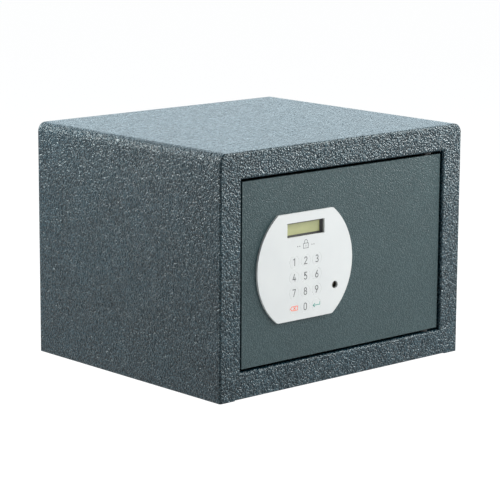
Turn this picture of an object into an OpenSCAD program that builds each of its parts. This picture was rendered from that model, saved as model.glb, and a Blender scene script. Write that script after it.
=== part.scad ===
// In-room safe: folded sheet steel cabinet with a motor-bolted door and a keypad panel.
// Origin: centre of the footprint, at the base. +X is to the right seen from the
// front, +Y goes to the rear and +Z is up. Millimetres. The door is shown shut and unbolted.

/* [Cabinet] */
// Outside width
body_w = 350; // [346:1:380]
// Outside depth
body_d = 300; // [280:1:400]
// Outside height
body_h = 255; // [253:1:290]
// Thickness of the cabinet's sheet steel
sheet_t = 2; // [1.5:0.1:2.2]
// Outside radius of the bends along the two top edges
top_bend_r = 10; // [6:0.5:14]
// Outside radius of the folds at the front face and round the doorway
fold_r = 2.5; // [2.4:0.1:3]
// How far the rear panel is let into the shell
rear_inset = 1.5; // [0.5:0.1:4]
// How far the front's lower edge stands off the floor between its corners
bottom_relief = 0.8; // [0.4:0.1:1.5]
// Length of the front's lower edge that reaches the floor at each corner
corner_foot = 20; // [10:1:40]

/* [Doorway] */
// Width of the front frame round the doorway
border = 28; // [26:0.5:29]
// Depth of the flange folded in round the doorway
jamb_depth = 16; // [15:0.5:17]
// Gap between the door and the doorway on each side
door_gap = 3; // [2.6:0.1:3.2]

/* [Door] */
// How far the door's face lies behind the front frame
door_recess = 2.5; // [2.5:0.1:2.8]
// Thickness of the door plate
door_t = 4; // [3.8:0.1:4.2]
// Distance of the hinge axis from the door's right edge
hinge_inset = 15; // [14:0.5:16]
// Distance of the hinge axis behind the door's face
hinge_back = 7; // [6.9:0.1:7.4]
// Diameter of the hinge pins
pin_d = 5; // [4:0.1:5.4]
// Radial clearance of the hinge pins in their bushes
pin_fit = 0.05; // [0.03:0.01:0.1]

/* [Anchor holes] */
// Diameter of the anchor holes in the floor and in the rear
anchor_d = 11; // [8:0.5:13]
// Spacing of the floor's anchor holes, left to right
anchor_floor_x = 200; // [150:5:240]
// Spacing of the floor's anchor holes, front to rear
anchor_floor_y = 150; // [100:5:160]
// Centre of the floor's anchor holes behind the cabinet's middle
anchor_floor_mid = 15; // [10:1:20]
// Spacing of the rear's two anchor holes
anchor_rear_x = 200; // [120:5:260]

/* [Keypad panel] */
// Width of the panel across its round ends
panel_w = 134.5; // [130:0.5:136]
// Height of the panel between its flat edges
panel_h = 112.5; // [110:0.5:116]
// Radius of the panel's round ends
panel_arc_r = 70; // [69:0.5:74]
// Radius of the panel's four corners
panel_corner_r = 3.5; // [2:0.1:5]
// Centre of the panel from the door's middle, negative to the left
panel_x = -57.75; // [-59:0.25:-57]
// Height of the panel's centre above the door's middle
panel_up = 0.5; // [0:0.1:1]

/* [Display] */
// Width of the display window
window_w = 52.5; // [50:0.5:53]
// Height of the display window
window_h = 15.3; // [14:0.1:16]
// Centre of the window above the panel's centre
window_up = 38.7; // [38:0.1:39]
// Depth of the display behind the panel's face
display_depth = 5; // [4.9:0.1:5.1]

/* [Keys] */
// Diameter of a key
key_d = 13; // [11:0.1:13.4]
// Radial gap round a key
key_fit = 0.08; // [0.06:0.01:0.2]
// Spacing of the keys, left to right
key_pitch_x = 16; // [15.6:0.1:16.2]
// Spacing of the rows of keys
key_pitch_z = 16.25; // [15.6:0.05:16.5]
// Centre of the top row above the panel's centre
key_row_up = 5.25; // [5:0.05:5.5]

/* [Emergency lock] */
// Diameter of the hole that the emergency key passes through
key_hole_d = 8; // [6:0.1:8.2]
// Centre of the hole to the right of the panel's centre
lock_right = 42.5; // [42:0.25:43]
// Centre of the hole below the panel's centre
lock_down = 26.25; // [25:0.25:27]

/* [Bolts and drive] */
// Diameter of a locking bolt
bolt_d = 18; // [14:0.5:18]
// Distance between the axes of the two locking bolts
bolt_spacing = 90; // [84:1:92]
// Sliding clearance round a bolt, on its radius
bolt_fit = 0.1; // [0.06:0.01:0.1]
// Number of teeth on the drive pinion
pinion_teeth = 18; // [18:1:19]
// Module of the pinion and the rack
gear_module = 0.8; // [0.78:0.01:0.8]

/* [Hidden] */
$fn = 64;

paint = [0.27, 0.31, 0.33];
door_paint = [0.31, 0.35, 0.37];
zinc = [0.72, 0.73, 0.74];
steel = [0.6, 0.61, 0.62];
brass = [0.78, 0.66, 0.36];
panel_white = [0.89, 0.9, 0.9];
black_plastic = [0.09, 0.09, 0.1];
grey_plastic = [0.35, 0.36, 0.37];
board_green = [0.1, 0.33, 0.2];
felt_grey = [0.16, 0.17, 0.18];

// Planes of the cabinet
front_y = -body_d / 2;
rear_y = body_d / 2;
side_x = body_w / 2;
inside_x = side_x - sheet_t;
bend_x = side_x - top_bend_r;
bend_z = body_h - top_bend_r;
rim_leg = fold_r + 1.5;
clear = 0.3;
snug = 0.1;

// How far a cutting shape runs past the surface that it cuts
cut = 1;

// The doorway
open_x = side_x - border;
open_z0 = border;
open_z1 = body_h - border;
mid_z = (open_z0 + open_z1) / 2;
half_open_h = (open_z1 - open_z0) / 2;
jamb_y = front_y + jamb_depth;

// The door plate and its hinge axis
door_x = open_x - door_gap;
door_z0 = open_z0 + door_gap;
door_z1 = open_z1 - door_gap;
door_y0 = front_y + door_recess;
door_y1 = door_y0 + door_t;
pivot_x = door_x - hinge_inset;
pivot_y = door_y0 + hinge_back;
pin_r = pin_d / 2;
bush_r = pin_r + 1.5;
bush_flange_r = bush_r + 1.5;
bush_body_h = sheet_t + 0.6;
pin_over = 1.4;
pin_stop = 2;
block_w = 16;
block_h = 24;
block_y1 = pivot_y + 7;
washer_t = 0.6;
bush_flange_t = door_gap - washer_t - 0.2;

// The keypad panel, flush with the front frame
panel_z = mid_z + panel_up;
panel_y0 = front_y;
panel_y1 = door_y0;
panel_arc_x = panel_arc_r - panel_w / 2;
post_dx = 46;
post_dz = 44;
post_r = 1.5;
post_over = 2.5;
push_nut_t = 0.8;
push_nut_rim = 2.5;

// The display
window_z = panel_z + window_up;
lcd_y0 = panel_y0 + display_depth;
lcd_t = 2.8;
lcd_w = window_w - 1;
lcd_h = window_h - 0.8;
bezel_inset_x = 2.6;
bezel_inset_z = 1.9;
bezel_rim = 2.2;

// The keypad's housing, board and keys
housing_x0 = panel_x - 30.75;
housing_x1 = panel_x + 30.25;
housing_z0 = panel_z - 54.5;
housing_z1 = panel_z + 52.5;
housing_y1 = door_y1 + 12.5;
housing_wall = 1.5;
housing_ear = 8;
housing_ear_t = 2;
stud_r = 1.5;
stud_in = 10;
wire_exit_x = housing_x1 - 8;
wire_exit_z = window_z - 14;
wire_exit_r = 2.6;
board_t = 1.6;
keypad_board_y0 = lcd_y0 + lcd_t + 0.7;
key_r = key_d / 2;
key_flange_r = key_r + 0.8;
key_flange_y = panel_y1 + 0.2;
key_flange_t = 0.8;
key_stem_r = 2;
key_stem_y = key_flange_y + key_flange_t + 1.2;
switch_top_y = key_stem_y + 0.7;
switch_body_y = switch_top_y + 1.4;
switch_w = 6;
switch_button_r = 1.7;

// The emergency lock
lock_x = panel_x + lock_right;
lock_z = panel_z - lock_down;
lock_r = 8;
lock_y0 = door_y0 + 0.2;
plug_r = 4.5;
plug_y0 = door_y1 - 0.4;
lock_y1 = plug_y0 + 21.5;
plug_fit = 0.05;
plug_neck_r = 2.5;
cam_y0 = lock_y1 + 0.5;
cam_t = 2;
cam_len = 24;

// The inner cover over the door's works
cover_wall = 1.5;
cover_x0 = -open_x + 10;
cover_x1 = pivot_x - 16;
cover_z0 = open_z0 + 8;
cover_z1 = open_z1 - 8;
cover_y1 = door_y1 + 43.5;
cover_in_y = cover_y1 - cover_wall;
cover_post_r = 3.5;
cover_post_in = 11;
screw_r = 1.6;
screw_len = 7;

// The bolt work
bolt_r = bolt_d / 2;
bolt_y = door_y1 + 21.5;
bolt_zs = [mid_z - bolt_spacing / 2, mid_z + bolt_spacing / 2];
bolt_tip_x = -open_x + 4;
bar_x0 = -open_x + 55;
bar_x1 = bar_x0 + 6;
bar_y0 = bolt_y - 6;
bar_y1 = bolt_y + 10;
bar_over = 10.5;
tenon_r = 4;
bolt_nut_t = 4;
bolt_nut_r = 7.4;
guide_t = 2;
guide_x0 = cover_x0 + cover_wall + 1;
guide_x1 = guide_x0 + 24.5;
guide_over = 16.5;
guide_y1 = bolt_y + bolt_r + 5;
strike_y1 = bolt_y + bolt_r + 7;
strike_over = 22.5;

// The rack and its pinion: straight-sided rack teeth and involute pinion teeth
pressure_angle = 20;
pitch_r = gear_module * pinion_teeth / 2;
base_r = pitch_r * cos(pressure_angle);
tip_r = pitch_r + gear_module;
root_r = pitch_r - 1.25 * gear_module;
tooth_pitch = PI * gear_module;
backlash = 0.16;
rack_y0 = bar_y1 - 6;
rack_y1 = bar_y1;
rack_pitch_z = mid_z + 2.7;
rack_root_z = rack_pitch_z - 1.25 * gear_module;
rack_low_z = mid_z - 3.5;
rack_teeth = 13;
rack_end = 26;
pinion_x = 8;
pinion_z = rack_pitch_z + pitch_r;
shaft_r = 1.5;
shaft_fit = 0.05;
shaft_in = 4;

// The gearmotor
motor_w = 12;
motor_h = 10;
motor_y0 = door_y1 + 0.3;
motor_y1 = rack_y0 - 3;
bracket_t = 1.5;

// The main board
main_x0 = 40;
main_x1 = 105;
main_z0 = mid_z + 2.5;
main_z1 = mid_z + 72.5;
main_y0 = door_y1 + 4.5;
spacer_in = 4;
plug_h = 6;
plug_in = 12;

// The batteries: four AA cells side by side
cell_r = 7.1;
cell_len = 50;
cell_pitch = 15.6;
holder_x0 = 40;
holder_x1 = 104;
holder_wall = 1.2;
holder_z = mid_z - 42;
holder_half = 33;
holder_y0 = cover_in_y - 17.5;
cell_y = cover_in_y - 8.4;
lid_t = 2;
lid_x0 = holder_x0 + 2;
lid_x1 = holder_x1 - 2;
lid_z0 = holder_z - holder_half + 2;
lid_z1 = holder_z + holder_half - 2;

// Small pieces
mat_t = 2;
mat_side = 4;
mat_end = 8;
mat_hole_over = 6;
spring_h = 30;
leaf_t = 0.8;
wire_sides = 8;
strike_fit = 0.5;
wire_ends_x = [main_x0 + 10, main_x0 + 30, main_x0 + 50];

// Draws its 2D children in the X-Z plane and makes them solid from y0 to y1
module slab(y0, y1) {
    translate([0, y1, 0])
        rotate([90, 0, 0])
            linear_extrude(y1 - y0)
                children();
}

// A box given by its lowest and highest corners
module block(low, high) {
    translate(low)
        cube(high - low);
}

// A round rod along Y
module rod_y(x, z, y0, y1, r) {
    slab(y0, y1)
        translate([x, z])
            circle(r);
}

// A round rod along X
module rod_x(x0, x1, y, z, r) {
    translate([x0, y, z])
        rotate([0, 90, 0])
            cylinder(h = x1 - x0, r = r);
}

// A round rod along Z
module rod_z(x, y, z0, z1, r) {
    translate([x, y, z0])
        cylinder(h = z1 - z0, r = r);
}

// A quarter of a disc, filling the quadrant of positive x and y
module quarter(r) {
    intersection() {
        circle(r);
        square(r);
    }
}

// Section of a folded edge: x runs in from the outside face, y runs back from the front
module fold(leg) {
    translate([fold_r, fold_r])
        rotate(180)
            quarter(fold_r);
    translate([0, fold_r])
        square([sheet_t, leg - fold_r]);
}

// One side of the doorway's folded flange, at +X of the doorway's centre, mitred at its ends
module doorway_side(half_w, half_h) {
    reach = fold_r + cut;
    intersection() {
        translate([half_w, 0, -half_h - reach])
            linear_extrude(2 * (half_h + reach))
                fold(jamb_depth);
        slab(-cut, jamb_depth + cut)
            polygon([
                [half_w - reach, reach - half_h],
                [half_w + reach, -reach - half_h],
                [half_w + reach, half_h + reach],
                [half_w - reach, half_h - reach]
            ]);
    }
}

// Flat of the front frame, inside its outer folds and outside the doorway's folds
module frame_flat() {
    difference() {
        union() {
            translate([-bend_x, 0])
                square([2 * bend_x, body_h - fold_r]);
            for (side = [-1, 1])
                mirror([side < 0 ? 1 : 0, 0]) {
                    translate([bend_x, 0])
                        square([top_bend_r - fold_r, bend_z]);
                    translate([bend_x, bend_z])
                        quarter(top_bend_r - fold_r);
                }
        }
        translate([-open_x - fold_r, open_z0 - fold_r])
            square([2 * (open_x + fold_r), open_z1 - open_z0 + 2 * fold_r]);
        translate([corner_foot - side_x, -cut])
            square([2 * (side_x - corner_foot), cut + bottom_relief]);
    }
}

// The front frame's outer folds: two sides, the top and the two round corners
module frame_rim() {
    for (side = [-1, 1])
        mirror([side < 0 ? 1 : 0, 0, 0]) {
            translate([side_x, front_y, 0])
                linear_extrude(bend_z)
                    mirror([1, 0])
                        fold(rim_leg);
            translate([bend_x, front_y, bend_z])
                rotate([90, 0, 0])
                    rotate_extrude(angle = 90)
                        translate([top_bend_r, 0])
                            rotate(180)
                                fold(rim_leg);
        }
    translate([-bend_x, front_y, body_h])
        rotate([0, 90, 0])
            linear_extrude(2 * bend_x)
                fold(rim_leg);
}

module front_frame() {
    color(paint)
        difference() {
            union() {
                slab(front_y, front_y + sheet_t)
                    frame_flat();
                frame_rim();
                translate([0, front_y, mid_z])
                    for (turn = [0, 180]) {
                        rotate([0, turn, 0])
                            doorway_side(open_x, half_open_h);
                        rotate([0, turn + 90, 0])
                            doorway_side(half_open_h, open_x);
                    }
            }
            for (z = [open_z0 - sheet_t, open_z1])
                rod_z(pivot_x, pivot_y, z - cut, z + sheet_t + cut, bush_r);
        }
}

module body_shell() {
    color(paint)
        slab(front_y + rim_leg, rear_y) {
            translate([-bend_x, body_h - sheet_t])
                square([2 * bend_x, sheet_t]);
            for (side = [-1, 1])
                mirror([side < 0 ? 1 : 0, 0]) {
                    translate([inside_x, 0])
                        square([sheet_t, bend_z]);
                    translate([bend_x, bend_z])
                        difference() {
                            quarter(top_bend_r);
                            circle(top_bend_r - sheet_t);
                        }
                }
        }
}

module floor_plate() {
    color(paint)
        difference() {
            block([-inside_x, front_y + fold_r, 0], [inside_x, rear_y, sheet_t]);
            floor_anchor_holes(anchor_d / 2);
        }
}

// The floor's four anchor holes, also used for the clearance holes in the mat
module floor_anchor_holes(r) {
    for (x = [-anchor_floor_x / 2, anchor_floor_x / 2])
        for (y = [-anchor_floor_y / 2, anchor_floor_y / 2])
            rod_z(x, anchor_floor_mid + y, -cut, sheet_t + mat_t + cut, r);
}

module rear_panel() {
    inner_r = top_bend_r - sheet_t;
    color(paint)
        difference() {
            slab(rear_y - rear_inset - sheet_t, rear_y - rear_inset) {
                translate([-bend_x, sheet_t])
                    square([2 * bend_x, body_h - 2 * sheet_t]);
                for (side = [-1, 1])
                    mirror([side < 0 ? 1 : 0, 0]) {
                        translate([bend_x, sheet_t])
                            square([inner_r, bend_z - sheet_t]);
                        translate([bend_x, bend_z])
                            quarter(inner_r);
                    }
            }
            for (x = [-anchor_rear_x / 2, anchor_rear_x / 2])
                rod_y(x, mid_z, rear_y - rear_inset - sheet_t - cut, rear_y, anchor_d / 2);
        }
}

// Plate that the bolts enter, welded behind the left flange and braced to the side wall
module strike_plate() {
    z0 = bolt_zs[0] - strike_over;
    z1 = bolt_zs[1] + strike_over;
    color(paint)
        difference() {
            union() {
                block([-open_x - sheet_t, jamb_y, z0], [-open_x, strike_y1, z1]);
                block([-inside_x, strike_y1 - sheet_t, z0], [-open_x - sheet_t, strike_y1, z1]);
            }
            for (z = bolt_zs)
                rod_x(-open_x - sheet_t - cut, -open_x + cut, bolt_y, z, bolt_r + strike_fit);
        }
}

// One flanged bush, its flange on the side of the door
module hinge_bush() {
    difference() {
        union() {
            cylinder(h = bush_flange_t, r = bush_flange_r);
            translate([0, 0, bush_flange_t])
                cylinder(h = bush_body_h, r = bush_r);
        }
        translate([0, 0, -cut])
            cylinder(h = bush_flange_t + bush_body_h + 2 * cut, r = pin_r + pin_fit);
    }
}

module hinge_bushes() {
    color(black_plastic) {
        translate([pivot_x, pivot_y, open_z1 - bush_flange_t])
            hinge_bush();
        translate([pivot_x, pivot_y, open_z0 + bush_flange_t])
            mirror([0, 0, 1])
                hinge_bush();
    }
}

// Leaf spring on the strike plate that pushes the unbolted door ajar
module door_spring() {
    root_x = -open_x;
    curl_r = 1.5;
    root_y = bolt_y + 12;
    bend_y = bolt_y - 10;
    tip_x = -open_x + 4.4;
    tip_y = door_y1 + 2.1;
    centre = [tip_x + leaf_t - curl_r, tip_y];
    arc = [for (a = [0:-15:-180]) [cos(a), sin(a)]];
    color(steel)
        translate([0, 0, mid_z - spring_h / 2])
            linear_extrude(spring_h)
                polygon(concat(
                    [[root_x, root_y], [root_x, bend_y]],
                    [for (p = arc) centre + (curl_r - leaf_t) * p],
                    [for (i = [len(arc) - 1:-1:0]) centre + curl_r * arc[i]],
                    [[root_x + leaf_t, bend_y], [root_x + leaf_t, root_y]]
                ));
}

module spring_rivets() {
    rivet_back = 6;
    rivet_h = 1.4;
    dome_r = 3.6;
    color(steel)
        for (z = [mid_z - spring_h / 4, mid_z + spring_h / 4])
            translate([-open_x + leaf_t, bolt_y + rivet_back, z])
                intersection() {
                    translate([rivet_h - dome_r, 0, 0])
                        sphere(dome_r);
                    block([0, -dome_r, -dome_r], [dome_r, dome_r, dome_r]);
                }
}

module floor_mat() {
    color(felt_grey)
        difference() {
            block([mat_side - inside_x, front_y + mat_end, sheet_t],
                [inside_x - mat_side, rear_y - mat_end, sheet_t + mat_t]);
            floor_anchor_holes(anchor_d / 2 + mat_hole_over);
        }
}

module door_plate() {
    color(door_paint)
        difference() {
            block([-door_x, door_y0, door_z0], [door_x, door_y1, door_z1]);
            block([housing_x0 - clear, door_y0 - cut, housing_z0 - clear],
                [housing_x1 + clear, door_y1 + cut, housing_z1 + clear]);
            rod_y(lock_x, lock_z, door_y0 - cut, door_y1 + cut, lock_r + snug);
            panel_posts(door_y0 - cut, door_y1 + cut, post_r + 2 * snug);
        }
}

// The keypad panel's four fixing posts, also used for the holes they pass through
module panel_posts(y0, y1, r) {
    for (x = [-post_dx, post_dx])
        for (z = [-post_dz, post_dz])
            rod_y(panel_x + x, panel_z + z, y0, y1, r);
}

// Knuckles welded behind the door at its top and bottom right corners
module hinge_blocks() {
    color(zinc)
        for (z = [door_z0, door_z1 - block_h])
            difference() {
                block([pivot_x - block_w / 2, door_y1, z], [pivot_x + block_w / 2, block_y1, z + block_h]);
                rod_z(pivot_x, pivot_y, z - cut, z + block_h + cut, pin_r);
            }
}

module hinge_pins() {
    color(steel) {
        rod_z(pivot_x, pivot_y, open_z0 - sheet_t - pin_over, door_z0 + block_h - pin_stop, pin_r);
        rod_z(pivot_x, pivot_y, door_z1 - block_h + pin_stop, open_z1 + sheet_t + pin_over, pin_r);
    }
}

module thrust_washer() {
    color(black_plastic)
        difference() {
            rod_z(pivot_x, pivot_y, door_z0 - washer_t, door_z0, bush_flange_r);
            rod_z(pivot_x, pivot_y, door_z0 - washer_t - cut, door_z0 + cut, pin_r);
        }
}

// Outline of the keypad panel: flat edges above and below, round ends, rounded corners
module panel_outline() {
    reach = panel_arc_r - panel_corner_r;
    corner_z = panel_h / 2 - panel_corner_r;
    corner_x = sqrt(reach * reach - corner_z * corner_z) - panel_arc_x;
    meet_z = corner_z * panel_arc_r / reach;
    intersection() {
        translate([panel_arc_x, 0])
            circle(panel_arc_r, $fn = 180);
        translate([-panel_arc_x, 0])
            circle(panel_arc_r, $fn = 180);
        translate([-panel_w, -meet_z])
            square([2 * panel_w, 2 * meet_z]);
    }
    for (top = [0, 1])
        mirror([0, top]) {
            translate([-corner_x, meet_z])
                square([2 * corner_x, panel_h / 2 - meet_z]);
            for (side = [0, 1])
                mirror([side, 0])
                    intersection() {
                        translate([corner_x, corner_z])
                            circle(panel_corner_r);
                        translate([corner_x, meet_z])
                            square(panel_corner_r);
                    }
        }
}

module keypad_panel() {
    color(panel_white) {
        difference() {
            slab(panel_y0, panel_y1)
                translate([panel_x, panel_z])
                    panel_outline();
            block([panel_x - window_w / 2, panel_y0 - cut, window_z - window_h / 2],
                [panel_x + window_w / 2, panel_y1 + cut, window_z + window_h / 2]);
            for (i = [0:11])
                rod_y(key_x(i), key_z(i), panel_y0 - cut, panel_y1 + cut, key_r + key_fit);
            rod_y(lock_x, lock_z, panel_y0 - cut, panel_y1 + cut, key_hole_d / 2);
        }
        panel_posts(panel_y1, door_y1 + post_over, post_r);
    }
}

module panel_push_nuts() {
    color(steel)
        difference() {
            panel_posts(door_y1, door_y1 + push_nut_t, post_r + push_nut_rim);
            panel_posts(door_y1 - cut, door_y1 + push_nut_t + cut, post_r);
        }
}

// Black surround whose sides slope in from the window to the display
module display_bezel() {
    half_w = window_w / 2;
    half_h = window_h / 2;
    y0 = panel_y1;
    y1 = lcd_y0;
    color(black_plastic)
        translate([panel_x, 0, window_z])
            difference() {
                block([-half_w - bezel_rim, y0, -half_h - bezel_rim],
                    [half_w + bezel_rim, y1, half_h + bezel_rim]);
                intersection() {
                    translate([0, 0, -window_h])
                        linear_extrude(2 * window_h)
                            bezel_section(half_w, bezel_inset_x, y0, y1);
                    rotate([90, 0, 90])
                        translate([0, 0, -window_w])
                            linear_extrude(2 * window_w)
                                rotate(90)
                                    mirror([0, 1])
                                        bezel_section(half_h, bezel_inset_z, y0, y1);
                }
            }
}

// Section of the bezel's opening, across its width from front to rear
module bezel_section(half, inset, y0, y1) {
    slope = inset / (y1 - y0);
    polygon([
        [-half - slope, y0 - cut],
        [half + slope, y0 - cut],
        [half - inset - slope, y1 + cut],
        [slope + inset - half, y1 + cut]
    ]);
}

module lcd_glass() {
    color([0.73, 0.75, 0.53])
        block([panel_x - lcd_w / 2, lcd_y0, window_z - lcd_h / 2],
            [panel_x + lcd_w / 2, lcd_y0 + lcd_t, window_z + lcd_h / 2]);
}

// Rubber strips that join the display to its board
module lcd_connector() {
    strip = 2;
    color(grey_plastic)
        for (z = [window_z - lcd_h / 2, window_z + lcd_h / 2 - strip])
            block([panel_x - lcd_w / 2 + strip, lcd_y0 + lcd_t, z],
                [panel_x + lcd_w / 2 - strip, keypad_board_y0, z + strip]);
}

// Tray in the door's cut-out that holds the keypad board, with an ear above and below
module keypad_housing() {
    color(black_plastic)
        difference() {
            union() {
                block([housing_x0, panel_y1, housing_z0], [housing_x1, housing_y1, housing_z1]);
                block([housing_x0, door_y1, housing_z0 - housing_ear],
                    [housing_x1, door_y1 + housing_ear_t, housing_z1 + housing_ear]);
            }
            block([housing_x0 + housing_wall, panel_y1 - cut, housing_z0 + housing_wall],
                [housing_x1 - housing_wall, housing_y1 - housing_wall, housing_z1 - housing_wall]);
            housing_studs(door_y1 - cut, door_y1 + housing_ear_t + cut, stud_r);
            rod_y(wire_exit_x, wire_exit_z, housing_y1 - housing_wall - cut, housing_y1 + cut, wire_exit_r);
        }
}

// The four studs of the keypad's housing, also used for its holes
module housing_studs(y0, y1, r) {
    for (x = [housing_x0 + stud_in, housing_x1 - stud_in])
        for (z = [housing_z0 - housing_ear / 2, housing_z1 + housing_ear / 2])
            rod_y(x, z, y0, y1, r);
}

module housing_nuts() {
    nut_y = door_y1 + housing_ear_t;
    stud_over = 4;
    stud_nut_t = 2.4;
    stud_nut_r = 2.9;
    color(zinc) {
        housing_studs(door_y1, door_y1 + housing_ear_t + stud_over, stud_r);
        difference() {
            housing_studs(nut_y, nut_y + stud_nut_t, stud_nut_r, $fn = 6);
            housing_studs(door_y1, nut_y + stud_nut_t + cut, stud_r);
        }
    }
}

module keypad_board() {
    color(board_green)
        difference() {
            block([housing_x0 + housing_wall + clear, keypad_board_y0, housing_z0 + housing_wall + clear],
                [housing_x1 - housing_wall - clear, keypad_board_y0 + board_t,
                    housing_z1 - housing_wall - clear]);
            rod_y(wire_exit_x, wire_exit_z, keypad_board_y0 - cut, keypad_board_y0 + board_t + cut, stud_r);
        }
}

// Place of key i, counted from the top left along each row
function key_x(i) = panel_x + key_pitch_x * (i % 3 - 1);
function key_z(i) = panel_z + key_row_up - key_pitch_z * floor(i / 3);

module key_switches() {
    color(grey_plastic)
        for (i = [0:11]) {
            block([key_x(i) - switch_w / 2, switch_body_y, key_z(i) - switch_w / 2],
                [key_x(i) + switch_w / 2, keypad_board_y0, key_z(i) + switch_w / 2]);
            rod_y(key_x(i), key_z(i), switch_top_y, switch_body_y, switch_button_r);
        }
}

// A key: its face is flush with the panel, a flange behind the panel holds it in
module keypad_key(i) {
    color(panel_white) {
        rod_y(key_x(i), key_z(i), panel_y0, key_flange_y, key_r);
        rod_y(key_x(i), key_z(i), key_flange_y, key_flange_y + key_flange_t, key_flange_r);
        rod_y(key_x(i), key_z(i), key_flange_y + key_flange_t, key_stem_y, key_stem_r);
    }
}

module lock_body() {
    color(black_plastic)
        difference() {
            rod_y(lock_x, lock_z, lock_y0, lock_y1, lock_r);
            rod_y(lock_x, lock_z, lock_y0 - cut, plug_y0, key_hole_d / 2 + snug);
            rod_y(lock_x, lock_z, plug_y0 - snug, lock_y1 + cut, plug_r + plug_fit);
        }
}

// Spring clip that holds the lock's body behind the door
module lock_clip() {
    clip_half = 11;
    clip_t = 1.5;
    clip_rim = 0.7;
    color(steel)
        difference() {
            block([lock_x - lock_r - clip_rim, door_y1, lock_z - clip_half],
                [lock_x + clip_half, door_y1 + clip_t, lock_z + clip_half]);
            rod_y(lock_x, lock_z, door_y1 - cut, door_y1 + clip_t + cut, lock_r);
        }
}

module lock_plug() {
    head_t = 1.5;
    head_r = 4;
    slot_w = 1.4;
    slot_h = 5.6;
    slot_depth = 6;
    color(brass)
        difference() {
            union() {
                rod_y(lock_x, lock_z, plug_y0, cam_y0, plug_r);
                rod_y(lock_x, lock_z, cam_y0, cam_y0 + cam_t, plug_neck_r);
                rod_y(lock_x, lock_z, cam_y0 + cam_t, cam_y0 + cam_t + head_t, head_r);
            }
            block([lock_x - slot_w / 2, plug_y0 - cut, lock_z - slot_h / 2],
                [lock_x + slot_w / 2, plug_y0 + slot_depth, lock_z + slot_h / 2]);
        }
}

// Lever that draws the bolts back by hand when the emergency key turns
module lock_cam() {
    hub_r = 6;
    end_r = 4;
    end_z = lock_z - cam_len + end_r;
    color(zinc)
        difference() {
            union() {
                rod_y(lock_x, lock_z, cam_y0, cam_y0 + cam_t, hub_r);
                block([lock_x - end_r, cam_y0, end_z], [lock_x + end_r, cam_y0 + cam_t, lock_z]);
                rod_y(lock_x, end_z, cam_y0, cam_y0 + cam_t, end_r);
            }
            rod_y(lock_x, lock_z, cam_y0 - cut, cam_y0 + cam_t + cut, plug_neck_r);
        }
}

// Channel welded behind the door whose two flanges carry the bolts
module bolt_guide() {
    z0 = bolt_zs[0] - guide_over;
    z1 = bolt_zs[1] + guide_over;
    color(zinc)
        difference() {
            union() {
                block([guide_x0, door_y1, z0], [guide_x1, door_y1 + guide_t, z1]);
                for (x = [guide_x0, guide_x1 - guide_t])
                    block([x, door_y1 + guide_t, z0], [x + guide_t, guide_y1, z1]);
            }
            for (z = bolt_zs)
                rod_x(guide_x0 - cut, guide_x1 + cut, bolt_y, z, bolt_r + bolt_fit);
        }
}

module locking_bolts() {
    chamfer = 1.5;
    color(zinc)
        for (z = bolt_zs)
            translate([bolt_tip_x, bolt_y, z])
                rotate([0, 90, 0])
                    rotate_extrude()
                        polygon([
                            [0, 0],
                            [bolt_r - chamfer, 0],
                            [bolt_r, chamfer],
                            [bolt_r, bar_x0 - bolt_tip_x],
                            [tenon_r, bar_x0 - bolt_tip_x],
                            [tenon_r, bar_x1 + bolt_nut_t - bolt_tip_x],
                            [0, bar_x1 + bolt_nut_t - bolt_tip_x]
                        ]);
}

// Bar that joins the two bolts
module bolt_bar() {
    color(zinc)
        difference() {
            block([bar_x0, bar_y0, bolt_zs[0] - bar_over], [bar_x1, bar_y1, bolt_zs[1] + bar_over]);
            for (z = bolt_zs)
                rod_x(bar_x0 - cut, bar_x1 + cut, bolt_y, z, tenon_r);
        }
}

module bolt_nuts() {
    color(steel)
        for (z = bolt_zs)
            difference() {
                rod_x(bar_x1, bar_x1 + bolt_nut_t, bolt_y, z, bolt_nut_r, $fn = 6);
                rod_x(bar_x1 - cut, bar_x1 + bolt_nut_t + cut, bolt_y, z, tenon_r);
            }
}

// Rack on the bolt bar, with a lug that the emergency lock's lever can push
module drive_rack() {
    lug_gap = 3;
    lug_w = 5;
    lug_h = 24;
    teeth_behind = 3.5;
    half_tooth = tooth_pitch / 4 - backlash / 2;
    rise = tan(pressure_angle);
    low_half = half_tooth + 1.25 * gear_module * rise;
    high_half = half_tooth - gear_module * rise;
    color(zinc)
        slab(rack_y0, rack_y1) {
            translate([bar_x1, rack_low_z])
                square([pinion_x + rack_end - bar_x1, rack_root_z - rack_low_z]);
            translate([lock_x - cam_len - lug_gap - lug_w, rack_low_z - lug_h])
                square([lug_w, lug_h]);
            for (i = [0:rack_teeth - 1])
                translate([pinion_x + (i - teeth_behind) * tooth_pitch, rack_root_z])
                    polygon([
                        [-low_half, 0],
                        [low_half, 0],
                        [high_half, 2.25 * gear_module],
                        [-high_half, 2.25 * gear_module]
                    ]);
        }
}

function involute(a) = tan(a) * 180 / PI - a;

// Half the angle that a pinion tooth takes up at radius r
function tooth_half(r) = 90 / pinion_teeth - backlash / pitch_r * 45 / PI
    + involute(pressure_angle) - involute(acos(min(1, base_r / r)));

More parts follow.
